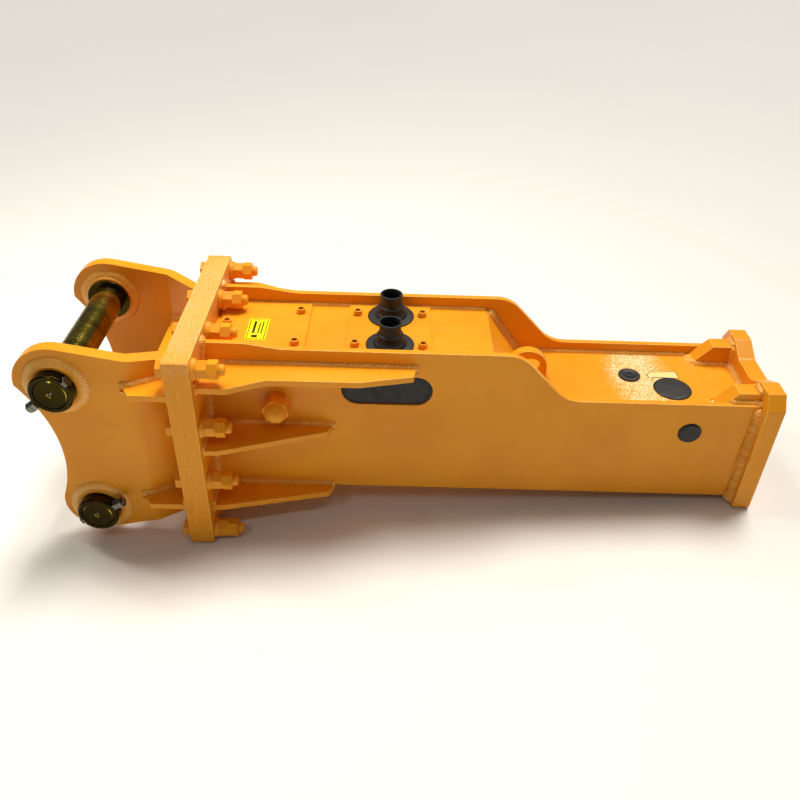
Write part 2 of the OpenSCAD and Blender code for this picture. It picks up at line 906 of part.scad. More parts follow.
// ---- control valve, on top of the cylinder ----
module valve_box() {
    color(cast) difference() {
        box([valve_x[0], -valve_half_y, body_half_z], [valve_x[1], valve_half_y, valve_top]);
        translate([0, 0, spool_z]) rod_x(spool_r + 0.05, spool_x[0] - spool_stroke - 61, valve_x[1] + 1);
        for (x = [-900, -820]) translate([x, 0, body_half_z - 1]) cylinder(r = 9, h = 30);
        for (y = [-port_y, port_y]) translate([port_x - shell_l, y, spool_z]) cylinder(r = 12, h = 60);
        translate([port_x - shell_l, 0, spool_z]) rod_y(8, -port_y, port_y);
    }
}

module valve_spool() {
    r = spool_r;
    groove_r = spool_r - 5;
    color(steel) translate([0, 0, spool_z]) turned_x([
        [spool_x[0], 12], [spool_x[0], r - 1], [spool_x[0] + 1, r],
        [-874, r], [-872, groove_r], [-856, groove_r],
        [-854, r], [-826, r], [-824, groove_r], [-808, groove_r],
        [-806, r], [spool_x[1] - 1, r], [spool_x[1], r - 1], [spool_x[1], 12]
    ]);
}

module valve_cap() {
    color(cast) difference() {
        box([valve_x[1], -50, spool_z - 42], [valve_x[1] + 16, 50, spool_z + 42]);
        for (p = cap_screw_places) translate([0, p[0], p[1]]) rod_x(5.3, valve_x[1] - 1, valve_x[1] + 17);
    }
}

// Hose connections under the boots
module port_adapters() {
    top = valve_top + 47;
    color(steel) for (y = [-port_y, port_y]) translate([port_x - shell_l, y, 0]) difference() {
        union() {
            translate([0, 0, valve_top]) cylinder(r = 24, h = 20);
            translate([0, 0, valve_top + 20]) hex_rod(46, 27);
        }
        translate([0, 0, top - 24]) cylinder(r = 15.2, h = 25);
        translate([0, 0, valve_top - 1]) cylinder(r = 11, h = 40);
    }
}

// ---- tool guides ----
tool_pin_x = side_plug_pos[0] - shell_l;
tool_pin_z = side_plug_pos[1] - axis_h;
tool_pin_r = 26;

module lower_bush() {
    color(steel) turned_x([
        [-lower_bush_l, tool_bore_r], [-lower_bush_l, 68], [0, 68], [0, tool_bore_r]
    ]);
}

module upper_bush() {
    color(steel) turned_x([
        [-330, tool_bore_r], [-330, 64], [-240, 64], [-240, tool_bore_r + 3], [-246, tool_bore_r]
    ]);
}

// Cross pins that keep the tool in
module tool_pins() {
    color(steel) for (z = [-1, 1]) translate([tool_pin_x, 0, z * tool_pin_z])
        turned_y([
            [-111, 0], [-111, tool_pin_r - 2], [-109, tool_pin_r],
            [109, tool_pin_r], [111, tool_pin_r - 2], [111, 0]
        ]);
}

bracket_ear_left();
bracket_ear_right();
bracket_flange();
bracket_gussets();
pin_bosses();
pin_bushes();
stick_pin();
stick_pin_collars();
stick_pin_bolts();
stick_pin_nuts();
link_pin();
link_pin_collars();
link_pin_bolts();
link_pin_nuts();
flange_bolts();
flange_washers();
flange_nuts();
flange_lock_nuts();
housing_flange();
side_plate_left();
side_plate_right();
port_plate();
ramp_plate();
front_plate();
back_plate();
side_gussets();
nose_plate();
nose_blocks();
lifting_lug();
charging_cover();
port_cover();
cover_bosses();
socket_screws();
rating_plate();
hose_boot_left();
hose_boot_right();
window_seals();
front_plugs();
side_plugs();
side_tie_rod();
side_cap_nuts();
upper_buffer();
lower_buffer();
wear_pads();
back_head();
cylinder_body();
front_head();
through_bolts();
through_bolt_nuts();
piston();
seal_carriers();
seal_rings();
valve_box();
valve_spool();
valve_cap();
port_adapters();
charging_valve();
lower_bush();
upper_bush();
tool_pins();
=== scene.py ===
"""Looks of a hydraulic breaker hammer: painted plate steel, zinc plated pins and rubber parts."""
import math
import random

import bmesh
import bpy
from mathutils import Matrix, Vector


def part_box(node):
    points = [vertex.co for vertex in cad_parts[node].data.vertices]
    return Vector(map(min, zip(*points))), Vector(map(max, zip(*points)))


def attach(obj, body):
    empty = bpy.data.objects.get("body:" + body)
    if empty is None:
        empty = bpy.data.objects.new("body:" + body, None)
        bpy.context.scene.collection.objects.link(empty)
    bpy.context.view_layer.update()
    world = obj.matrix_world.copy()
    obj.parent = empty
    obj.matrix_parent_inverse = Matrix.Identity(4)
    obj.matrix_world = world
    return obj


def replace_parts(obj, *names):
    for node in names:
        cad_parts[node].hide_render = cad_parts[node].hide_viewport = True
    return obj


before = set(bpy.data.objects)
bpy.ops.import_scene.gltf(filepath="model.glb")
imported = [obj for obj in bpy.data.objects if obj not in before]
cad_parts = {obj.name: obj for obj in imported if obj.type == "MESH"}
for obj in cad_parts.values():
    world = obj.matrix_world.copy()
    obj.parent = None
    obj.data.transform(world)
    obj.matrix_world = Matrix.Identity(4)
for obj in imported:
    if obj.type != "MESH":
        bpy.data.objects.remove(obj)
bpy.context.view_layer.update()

# Sizes of the hammer in millimetres, measured from the flange joint, the centre plane
# and the lower edge of the side plates
SHELL_LENGTH = 1440
AXIS_HEIGHT = 137
SIDE_OUT = 145.4
SIDE_IN = 129.4
FLANGE = 32
NOSE_BACK = 1394
PORT_TOP = 390
COVER_TOP = 396
FRONT_TOP = 266
FLANGE_LOW = -105
NOSE_LOW = -19
STICK_PIN = (-293, 359)
LINK_PIN = (-258, -17)
EAR_OUT = 227
EAR_IN = 195
EAR_BEND = math.radians(30)
PORT_X = 475
PORT_Y = 69

X = Vector((1, 0, 0))
Y = Vector((0, 1, 0))
Z = Vector((0, 0, 1))


def place(x, y, z):
    """A point given in millimetres from the flange joint, in the row frame in metres."""
    return Vector(((x - SHELL_LENGTH) / 1000, y / 1000, (z - AXIS_HEIGHT) / 1000))


# ---- materials ----
def linear(hex_code):
    """sRGB hex to linear RGBA."""
    channels = [int(hex_code[i:i + 2], 16) / 255 for i in (1, 3, 5)]
    return [c / 12.92 if c <= 0.04045 else ((c + 0.055) / 1.055) ** 2.4
            for c in channels] + [1.0]


def cells(size):
    """The scale of a pattern whose features are size millimetres apart."""
    return 1000 / size


def add(tree, kind, inputs, **settings):
    """Adds a node and returns its outputs. An input given a socket is linked, any other is set."""
    made = tree.nodes.new("ShaderNode" + kind)
    for key, value in settings.items():
        setattr(made, key, value)
    for key, value in inputs.items():
        if isinstance(value, bpy.types.NodeSocket):
            tree.links.new(value, made.inputs[key])
        else:
            made.inputs[key].default_value = value
    return made.outputs


def begin(name):
    """A material with an empty node tree, and its Object coordinates."""
    material = bpy.data.materials.new(name)
    material.use_nodes = True
    tree = material.node_tree
    tree.nodes.clear()
    return material, tree, add(tree, "TexCoord", {})["Object"]


SOFT = {"interpolation_type": "SMOOTHSTEP"}
TINT = {"data_type": "RGBA"}
EDGE = {"attribute_name": "thin_edge", "attribute_type": "GEOMETRY"}
ENAMEL = linear("#F2A01E")
ENAMEL_DEEP = linear("#EA9617")
# The pale colour of paint thinned on rounded edges, also laid over the weld beads as a painted
# highlight
ENAMEL_PALE = linear("#FFC25A")
ENAMEL_DUST = linear("#F8E2B0")


def enamel(name, dust=None, dusty=0.8, ripple=0.0, coat=0.1, paling=0.0):
    """Two-pack machinery enamel sprayed on rolled plate: a gloss film with a 3 mm orange peel over
    the 80 mm waves of the plate, that thins and turns paler on edges. dust is the (centre, radii)
    of a place where overspray has dried on it as specks, drawn 4.5 mm apart, coarser than the
    real 1 to 2 mm, so that they can be seen. dusty is how much they cover, paling is how much
    paler the whole film is drawn, partly for a thinner coat and partly as a painted highlight,
    and ripple is the height in metres of the freeze lines of a weld."""
    material, tree, where = begin(name)
    cloud = add(tree, "TexNoise", {"Vector": where, "Scale": cells(200), "Detail": 3.0})["Fac"]
    share = add(tree, "MapRange", {
        "Value": cloud, "From Min": 0.35, "From Max": 0.7}, **SOFT)["Result"]
    film = add(tree, "Mix", {0: share, 6: ENAMEL, 7: ENAMEL_DEEP}, **TINT)[2]
    edge = add(tree, "Attribute", {}, **EDGE)["Fac"]
    worn = add(tree, "TexNoise", {"Vector": where, "Scale": cells(22), "Detail": 4.0})["Fac"]
    patchy = add(tree, "MapRange", {
        "Value": worn, "From Min": 0.35, "From Max": 0.62,
        "To Min": 0.15, "To Max": 0.7}, **SOFT)["Result"]
    # Rounded edges are drawn paler where the paint thins; the paling of the whole film adds a
    # painted highlight on the weld beads
    share = add(tree, "Math", {0: edge, 1: patchy, 2: paling}, operation="MULTIPLY_ADD")[0]
    film = add(tree, "Mix", {0: share, 6: film, 7: ENAMEL_PALE}, **TINT)[2]
    gloss = add(tree, "TexNoise", {"Vector": where, "Scale": cells(36), "Detail": 3.0})["Fac"]
    rough = add(tree, "MapRange", {
        "Value": gloss, "From Min": 0.3, "From Max": 0.7,
        "To Min": 0.3, "To Max": 0.44}, **SOFT)["Result"]
    if dust:
        centre, radii = dust
        offset = add(tree, "VectorMath", {0: where, 1: centre}, operation="SUBTRACT")[0]
        scaled = add(tree, "VectorMath", {0: offset, 1: radii}, operation="DIVIDE")[0]
        reach = add(tree, "VectorMath", {0: scaled}, operation="LENGTH")["Value"]
        near = add(tree, "MapRange", {
            "Value": reach, "From Min": 0.2, "From Max": 1.0,
            "To Min": 1.0, "To Max": 0.0}, **SOFT)["Result"]
        drift = add(tree, "TexNoise", {"Vector": where, "Scale": cells(50), "Detail": 4.0})["Fac"]
        specks = add(tree, "TexNoise", {
            "Vector": where, "Scale": cells(4.5), "Detail": 3.0})["Fac"]
        grain = add(tree, "Math", {0: specks, 1: 5.0, 2: -1.9}, operation="MULTIPLY_ADD")[0]
        weight = add(tree, "Math", {0: drift, 1: 1.0, 2: grain}, operation="MULTIPLY_ADD")[0]
        laid = add(tree, "Math", {0: near, 1: weight}, operation="MULTIPLY")[0]
        shown = add(tree, "MapRange", {
            "Value": laid, "From Min": 0.3, "From Max": 1.45,
            "To Min": 0.0, "To Max": dusty}, **SOFT)["Result"]
        film = add(tree, "Mix", {0: shown, 6: film, 7: ENAMEL_DUST}, **TINT)[2]
        rough = add(tree, "Math", {0: shown, 1: 0.35, 2: rough}, operation="MULTIPLY_ADD")[0]
    waves = add(tree, "TexNoise", {"Vector": where, "Scale": cells(80), "Detail": 3.0})["Fac"]
    normal = add(tree, "Bump", {"Height": waves, "Distance": 0.0018, "Strength": 0.3})[0]
    peel = add(tree, "TexNoise", {"Vector": where, "Scale": cells(3), "Detail": 1.0})["Fac"]
    normal = add(tree, "Bump", {
        "Height": peel, "Distance": 0.0004, "Strength": 0.2, "Normal": normal})[0]
    if ripple:
        lines = add(tree, "TexNoise", {"Vector": where, "Scale": cells(5), "Detail": 3.0})["Fac"]
        normal = add(tree, "Bump", {
            "Height": lines, "Distance": ripple, "Strength": 0.8, "Normal": normal})[0]
    skin = add(tree, "BsdfPrincipled", {
        "Base Color": film, "Roughness": rough, "Normal": normal, "IOR": 1.5,
        "Specular IOR Level": 0.2, "Coat Weight": coat, "Coat Roughness": 0.14})[0]
    add(tree, "OutputMaterial", {"Surface": skin})
    return material


def yellow_zinc(name, deep, light):
    """Yellow chromate on zinc over a ground pin: an olive brown metal film, iridescent in patches
    and streaked round the pin by the grinding. The streaks are drawn 2 mm apart, coarser than the
    0.1 mm of a real grind, so that they can be seen."""
    material, tree, where = begin(name)
    bands = add(tree, "Mapping", {"Vector": where, "Scale": (0.15, 1.0, 0.15)})["Vector"]
    streak = add(tree, "TexNoise", {"Vector": bands, "Scale": cells(38), "Detail": 4.0})["Fac"]
    share = add(tree, "MapRange", {
        "Value": streak, "From Min": 0.3, "From Max": 0.7}, **SOFT)["Result"]
    colour = add(tree, "Mix", {0: share, 6: linear(deep), 7: linear(light)}, **TINT)[2]
    patch = add(tree, "TexNoise", {"Vector": where, "Scale": cells(70), "Detail": 3.0})["Fac"]
    blush = add(tree, "MapRange", {
        "Value": patch, "From Min": 0.5, "From Max": 0.72,
        "To Min": 0.0, "To Max": 0.55}, **SOFT)["Result"]
    colour = add(tree, "Mix", {0: blush, 6: colour, 7: linear("#38220F")}, **TINT)[2]
    edge = add(tree, "Attribute", {}, **EDGE)["Fac"]
    share = add(tree, "Math", {0: edge, 1: 0.4}, operation="MULTIPLY")[0]
    colour = add(tree, "Mix", {0: share, 6: colour, 7: linear("#A89A5C")}, **TINT)[2]
    grind = add(tree, "TexNoise", {"Vector": bands, "Scale": cells(2), "Detail": 2.0})["Fac"]
    rough = add(tree, "MapRange", {
        "Value": grind, "From Min": 0.3, "From Max": 0.7,
        "To Min": 0.17, "To Max": 0.3}, **SOFT)["Result"]
    normal = add(tree, "Bump", {"Height": grind, "Distance": 0.0001, "Strength": 0.25})[0]
    skin = add(tree, "BsdfPrincipled", {
        "Base Color": colour, "Metallic": 1.0, "Roughness": rough, "Normal": normal})[0]
    add(tree, "OutputMaterial", {"Surface": skin})
    return material


def plain_metal(name, colour, darker, metallic, low, high, grain, depth):
    """Metal or cast plastic mottled in 45 mm clouds by handling and oil. grain is the size of its
    surface grain in millimetres, depth the height of the grain in metres, and low and high are the
    ends of its roughness."""
    material, tree, where = begin(name)
    cloud = add(tree, "TexNoise", {"Vector": where, "Scale": cells(45), "Detail": 4.0})["Fac"]
    share = add(tree, "MapRange", {
        "Value": cloud, "From Min": 0.32, "From Max": 0.7}, **SOFT)["Result"]
    tone = add(tree, "Mix", {0: share, 6: linear(colour), 7: linear(darker)}, **TINT)[2]
    film = add(tree, "TexNoise", {"Vector": where, "Scale": cells(17), "Detail": 3.0})["Fac"]
    rough = add(tree, "MapRange", {
        "Value": film, "From Min": 0.3, "From Max": 0.7,
        "To Min": low, "To Max": high}, **SOFT)["Result"]
    fine = add(tree, "TexNoise", {"Vector": where, "Scale": cells(grain), "Detail": 2.0})["Fac"]
    normal = add(tree, "Bump", {"Height": fine, "Distance": depth, "Strength": 0.4})[0]
    skin = add(tree, "BsdfPrincipled", {
        "Base Color": tone, "Metallic": metallic, "Roughness": rough, "Normal": normal})[0]
    add(tree, "OutputMaterial", {"Surface": skin})
    return material


def rubber(name, colour, dusty, low, high):
    """Moulded nitrile rubber: near black and satin, with dust in 28 mm patches, a 1 mm mould grain
    and 17 mm hollows. low and high are the ends of its roughness."""
    material, tree, where = begin(name)
    patch = add(tree, "TexNoise", {"Vector": where, "Scale": cells(28), "Detail": 4.0})["Fac"]
    dust = add(tree, "MapRange", {
        "Value": patch, "From Min": 0.45, "From Max": 0.8,
        "To Min": 0.0, "To Max": 0.7}, **SOFT)["Result"]
    tone = add(tree, "Mix", {0: dust, 6: linear(colour), 7: linear(dusty)}, **TINT)[2]
    film = add(tree, "TexNoise", {"Vector": where, "Scale": cells(12), "Detail": 3.0})["Fac"]
    rough = add(tree, "MapRange", {
        "Value": film, "From Min": 0.3, "From Max": 0.7,
        "To Min": low, "To Max": high}, **SOFT)["Result"]
    grain = add(tree, "TexNoise", {"Vector": where, "Scale": cells(1), "Detail": 2.0})["Fac"]
    normal = add(tree, "Bump", {"Height": grain, "Distance": 0.0002, "Strength": 0.5})[0]
    hollows = add(tree, "TexNoise", {"Vector": where, "Scale": cells(17), "Detail": 2.0})["Fac"]
    normal = add(tree, "Bump", {
        "Height": hollows, "Distance": 0.001, "Strength": 0.25, "Normal": normal})[0]
    skin = add(tree, "BsdfPrincipled", {
        "Base Color": tone, "Roughness": rough, "Normal": normal, "IOR": 1.52})[0]
    add(tree, "OutputMaterial", {"Surface": skin})
    return material


def vinyl(name, colour, second):
    """Printed self-adhesive vinyl: an even, glossy colour with 8 mm ripples from its glue."""
    material, tree, where = begin(name)
    patch = add(tree, "TexNoise", {"Vector": where, "Scale": cells(25), "Detail": 2.0})["Fac"]
    tone = add(tree, "Mix", {0: patch, 6: linear(colour), 7: linear(second)}, **TINT)[2]
    rough = add(tree, "MapRange", {
        "Value": patch, "From Min": 0.3, "From Max": 0.7,
        "To Min": 0.22, "To Max": 0.36}, **SOFT)["Result"]
    glue = add(tree, "TexNoise", {"Vector": where, "Scale": cells(8), "Detail": 2.0})["Fac"]
    normal = add(tree, "Bump", {"Height": glue, "Distance": 0.0003, "Strength": 0.3})[0]
    skin = add(tree, "BsdfPrincipled", {
        "Base Color": tone, "Roughness": rough, "Normal": normal})[0]
    add(tree, "OutputMaterial", {"Surface": skin})
    return material


# Places where overspray has dried, as centre and radii in metres
FLANGE_DUST = ((-1.44, 0.0, 0.335), (0.25, 0.6, 0.11))
PLUG_DUST = ((-0.308, 0.02, 0.129), (0.13, 0.3, 0.05))
gloss_enamel = enamel("gloss_machinery_enamel")
flange_enamel = enamel("enamel_with_dusty_top_edges", FLANGE_DUST, 0.35)
nose_enamel = enamel("enamel_with_overspray", PLUG_DUST, 0.9)
# The weld beads and spatter are drawn paler all over: partly a thinner coat on the ripples, partly
# a painted highlight
bead_enamel = enamel("enamel_over_weld", ripple=0.0014, coat=0.7, paling=0.55)
# The same yellow chromate plating is drawn twice: a lighter copy on the pins as a painted
# highlight, and a darker copy on collars, bushes and the pins' end faces as painted shade
pin_zinc_painted_lit = yellow_zinc("yellow_chromate_painted_lit", "#7A6A22", "#B7A244")
zinc_painted_shade = yellow_zinc("yellow_chromate_painted_shade", "#1C1706", "#3A300E")
clear_zinc = plain_metal("clear_zinc_plate", "#85847A", "#5C5C55", 1.0, 0.25, 0.42, 2, 0.0002)
black_oxide = plain_metal("black_oxide_screws", "#2B2A28", "#1A1918", 0.8, 0.35, 0.55, 2, 0.0002)
turned_steel = plain_metal("turned_tool_steel", "#A3A6A9", "#76797C", 1.0, 0.22, 0.4, 1.5, 0.0001)
forged_steel = plain_metal("oiled_forged_steel", "#7C7F82", "#55585B", 0.9, 0.35, 0.55, 6, 0.0006)
cast_urethane = plain_metal("cast_polyurethane", "#D8D2B8", "#C2BA98", 0.0, 0.4, 0.6, 8, 0.0004)
boot_rubber = rubber("moulded_nitrile_rubber", "#121215", "#222226", 0.45, 0.66)
seal_rubber = rubber("flat_seal_rubber", "#101012", "#222326", 0.5, 0.7)
label_vinyl = vinyl("yellow_label_vinyl", "#F7EE0A", "#F0E200")
print_vinyl = vinyl("dark_label_print", "#3A3608", "#2C2A08")
cream_vinyl = vinyl("cream_label_vinyl", "#F6E9A6", "#EBDB8C")


# ---- mesh helpers ----
def finish(bm, name, body, materials, smooth_angle=32, weighted=True):
    """Turns a bmesh into a piece that rides on a body."""
    mesh = bpy.data.meshes.new(name)
    bm.to_mesh(mesh)
    bm.free()
    for material in materials:
        mesh.materials.append(material)
    mesh.shade_smooth()
    mesh.set_sharp_from_angle(angle=math.radians(smooth_angle))
    piece = bpy.data.objects.new(name, mesh)
    bpy.context.scene.collection.objects.link(piece)
    if weighted:
        normals = piece.modifiers.new("even_normals", "WEIGHTED_NORMAL")
        normals.keep_sharp = True
        normals.weight = 100
    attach(piece, body)
    return piece


def broken_edges(node, name, material, width, body="housing", smooth_angle=32,
                 ends=(), clamp=True):
    """A CAD node with its sharp edges broken by a small round, as after grinding and painting.
    The round's faces carry the thin_edge value that lets the paint thin on them. ends holds the
    material of the faces across Y, if it is another. clamp keeps all rounds as narrow as the
    shortest edge allows."""
    bm = bmesh.new()
    bm.from_mesh(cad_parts[node].data)
    bmesh.ops.remove_doubles(bm, verts=bm.verts[:], dist=1e-5)
    bmesh.ops.dissolve_limit(
        bm, angle_limit=math.radians(0.5), verts=bm.verts[:], edges=bm.edges[:])
    paling = bm.faces.layers.float.new("thin_edge")
    corners = [e for e in bm.edges
               if e.is_manifold and e.calc_face_angle() > math.radians(smooth_angle)]
    made = bmesh.ops.bevel(
        bm, geom=corners, offset=width / 1000, offset_type="OFFSET", affect="EDGES",
        segments=2, profile=0.5, material=-1, clamp_overlap=clamp)
    for face in made["faces"]:
        face[paling] = 1.0
    if ends:
        bm.normal_update()
        for face in bm.faces:
            face.material_index = int(abs(face.normal.y) > 0.9)
    piece = finish(bm, name, body, [material, *ends], smooth_angle)
    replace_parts(piece, node)
    return piece


def turned(whole, profile, centre, axis=Z, steps=72):
    """Adds a solid turned about axis through centre; profile is (along, radius) in millimetres.
    A profile that starts and ends off the axis is closed into a ring."""
    bm = bmesh.new()
    points = [bm.verts.new((radius / 1000, 0, along / 1000)) for along, radius in profile]
    pairs = list(zip(points, points[1:]))
    if profile[0][1] > 0:
        pairs.append((points[-1], points[0]))
    edges = [bm.edges.new(pair) for pair in pairs]
    bmesh.ops.spin(bm, geom=points + edges, cent=(0, 0, 0), axis=(0, 0, 1), angle=2 * math.pi,
                   steps=steps, use_merge=True)
    bmesh.ops.remove_doubles(bm, verts=bm.verts[:], dist=1e-7)
    bmesh.ops.recalc_face_normals(bm, faces=bm.faces[:])
    swing = Z.rotation_difference(axis).to_matrix().to_4x4()
    bmesh.ops.transform(bm, matrix=Matrix.Translation(centre) @ swing, verts=bm.verts[:])
    pour(bm, whole)


def pour(bm, whole):
    """Moves everything in bm into whole."""
    scrap = bpy.data.meshes.new("scrap")
    bm.to_mesh(scrap)
    bm.free()
    whole.from_mesh(scrap)
    bpy.data.meshes.remove(scrap)


def block(bm, low, high, material_index=0):
    """Adds a cuboid between two corners given in metres."""
    low, high = Vector(low), Vector(high)
    made = bmesh.ops.create_cube(bm, size=1.0)["verts"]
    bmesh.ops.scale(bm, vec=high - low, verts=made)
    bmesh.ops.translate(bm, vec=(low + high) / 2, verts=made)
    for face in {f for v in made for f in v.link_faces}:
        face.material_index = material_index


# ---- weld beads, in millimetres ----
BEAD_PITCH = 6.5
BEAD_STEP = 1.7
BEAD_POINTS = 7
# A bead with a leg of this much is laid in several flat passes, so it swells less
WIDE_BEAD = 18
# How far a bead sinks into the plates, as a share of its leg, so that it has no gap behind it
SUNK = 0.12


def bead(bm, chance, corners, leg, closed=False):
    """Lays a fillet weld along corners, a list of (point, first, second): a point in millimetres
    on the root, and the directions in which the bead spreads over the two plates. The bead swells
    and its freeze lines bow forward once every BEAD_PITCH."""
    legs = leg if isinstance(leg, tuple) else (leg, leg)
    stations = []
    for (p, a, b), (q, c, d) in zip(corners, corners[1:]):
        run = Vector(q) - Vector(p)
        turn = max(a.angle(c), b.angle(d)) * max(legs)
        count = max(2, round(max(run.length, turn) / BEAD_STEP))
        stations += [
            (Vector(p) + run * i / count, a.lerp(c, i / count), b.lerp(d, i / count))
            for i in range(count)]
    if not closed:
        stations.append((Vector(corners[-1][0]), corners[-1][1], corners[-1][2]))
    total = len(stations)
    swell = 0.24 if max(legs) < WIDE_BEAD else 0.11
    phase, slow = chance.random() * 6.3, chance.random() * 6.3
    frames = []
    travelled = 0.0
    for i, (point, a, b) in enumerate(stations):
        before = stations[i - 1][0] if i or closed else point
        after = stations[(i + 1) % total][0] if i + 1 < total or closed else point
        along = after - before
        if along.length < 1e-6:
            along = a.cross(b)
        if i:
            travelled += max((point - stations[i - 1][0]).length, BEAD_STEP)
        along.normalize()
        wave = abs(math.sin(math.pi * travelled / BEAD_PITCH + phase))
        wander = 0.07 * math.sin(travelled / 23 + slow) + 0.05 * math.sin(travelled / 9 + phase)
        size = 0.86 + swell * wave + wander + chance.uniform(-0.02, 0.02)
        if not closed:
            end = min(i, total - 1 - i) * BEAD_STEP / (0.7 * max(legs))
            size *= math.sqrt(max(0.05, 1 - (1 - min(end, 1.0)) ** 2))
        a, b = a.normalized() * legs[0] * size, b.normalized() * legs[1] * size
        frames.append(Matrix((
            (a.x, b.x, along.x, point.x), (a.y, b.y, along.y, point.y),
            (a.z, b.z, along.z, point.z), (0, 0, 0, 1))))
    section = [(-SUNK, -SUNK, 0.0), (1.0, -SUNK, 0.0)]
    for i in range(BEAD_POINTS):
        t = i / (BEAD_POINTS - 1)
        crown = math.sin(math.pi * t)
        section.append((1 - t + 0.13 * crown, t + 0.13 * crown, 0.4 * BEAD_PITCH * crown))
    section.append((-SUNK, 1.0, 0.0))
    verts = [bm.verts.new(p) for p in section]
    edges = [bm.edges.new((v, verts[(i + 1) % len(verts)])) for i, v in enumerate(verts)]
    bmesh.ops.transform(bm, matrix=frames[0], verts=verts)
    first_edges = edges[:]
    for previous, this in zip(frames, frames[1:]):
        made = bmesh.ops.extrude_edge_only(bm, edges=edges)["geom"]
        verts = [g for g in made if isinstance(g, bmesh.types.BMVert)]
        edges = [g for g in made
                 if isinstance(g, bmesh.types.BMEdge) and all(v in verts for v in g.verts)]
        bmesh.ops.transform(bm, matrix=this @ previous.inverted(), verts=verts)
    if closed:
        bmesh.ops.bridge_loops(bm, edges=edges + first_edges)
    else:
        bmesh.ops.contextual_create(bm, geom=edges)
        bmesh.ops.contextual_create(bm, geom=first_edges)


def seams(name, body, jobs, seed):
    """One piece of all the weld beads in jobs: (corners, leg) or (corners, leg, closed)."""
    chance = random.Random(seed)
    whole = bmesh.new()
    for job in jobs:
        bm = bmesh.new()
        bead(bm, chance, *job)
        bmesh.ops.recalc_face_normals(bm, faces=bm.faces[:])
        bmesh.ops.transform(bm, verts=bm.verts[:], matrix=(
            Matrix.Translation(place(0, 0, 0)) @ Matrix.Diagonal((0.001, 0.001, 0.001, 1))))
        pour(bm, whole)
    finish(whole, name, body, [bead_enamel], smooth_angle=60, weighted=False)


def straight(start, end, first, second):
    """Corners of a straight bead."""
    return [(start, first, second), (end, first, second)]


def across(v):
    """The same place or direction on the other side of the centre plane."""
    return Vector((v[0], -v[1], v[2]))


def both(jobs):
    """Beads on both sides of the centre plane."""
    return jobs + [([tuple(map(across, corner)) for corner in corners], *rest)
                   for corners, *rest in jobs]


